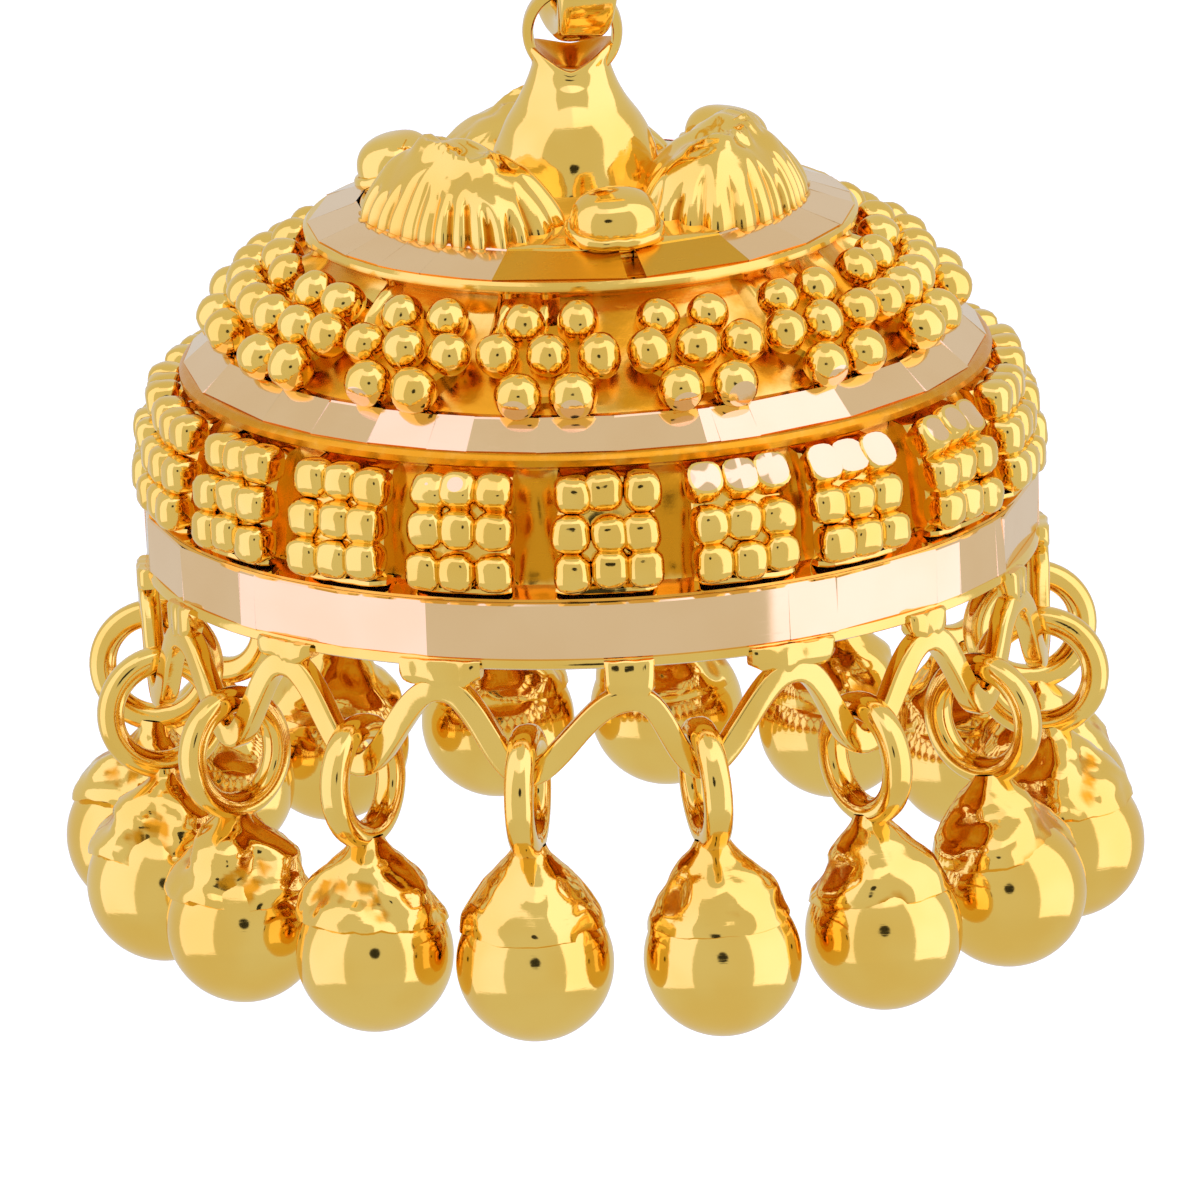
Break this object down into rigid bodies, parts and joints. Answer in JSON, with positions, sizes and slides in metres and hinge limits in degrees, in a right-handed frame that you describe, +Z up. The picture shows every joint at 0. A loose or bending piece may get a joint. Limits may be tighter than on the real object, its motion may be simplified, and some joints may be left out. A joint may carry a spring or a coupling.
{
  "type": "jhumka earring",
  "caption": "Bell-shaped drop earring with a round stud, a thick hanging link, faceted rose-gold bands, granulated walls, fluted petals and a fringe of round bead drops.",
  "frame": {"origin": "middle of the stud button's back face, where the post leaves it and the ear lobe begins", "axes": "+Z up, the button faces -Y, the post runs to +Y"},
  "size_m": [0.0264, 0.0261, 0.0335],
  "materials": {
    "yellow_gold": "polished 22 carat yellow gold",
    "rose_gold": "diamond-cut rose gold, mirror facets"
  },
  "bodies": {
    "stud": {"ear_stud": "yellow_gold"},
    "link": {"hanging_link": "yellow_gold"},
    "drop": {"bell": "yellow_gold", "band_wide": "rose_gold", "band_middle": "rose_gold", "band_top": "rose_gold", "bead_drop_01": "yellow_gold", "bead_drop_02": "yellow_gold", "bead_drop_03": "yellow_gold", "bead_drop_04": "yellow_gold", "bead_drop_05": "yellow_gold", "bead_drop_06": "yellow_gold", "bead_drop_07": "yellow_gold", "bead_drop_08": "yellow_gold", "bead_drop_09": "yellow_gold", "bead_drop_10": "yellow_gold", "bead_drop_11": "yellow_gold", "bead_drop_12": "yellow_gold", "bead_drop_13": "yellow_gold", "bead_drop_14": "yellow_gold", "bead_drop_15": "yellow_gold", "bead_drop_16": "yellow_gold"}
  },
  "joints": [
    {"name": "link_swing", "type": "hinge", "parent": "stud", "child": "link", "pos_m": [0, -0.0006, -0.00532], "axis": [0.9511, 0.309, 0], "range_deg": [-35, 35]},
    {"name": "drop_swing", "type": "hinge", "parent": "link", "child": "drop", "pos_m": [0, -0.0006, -0.00762], "axis": [0, 1, 0], "range_deg": [-35, 35]}
  ]
}
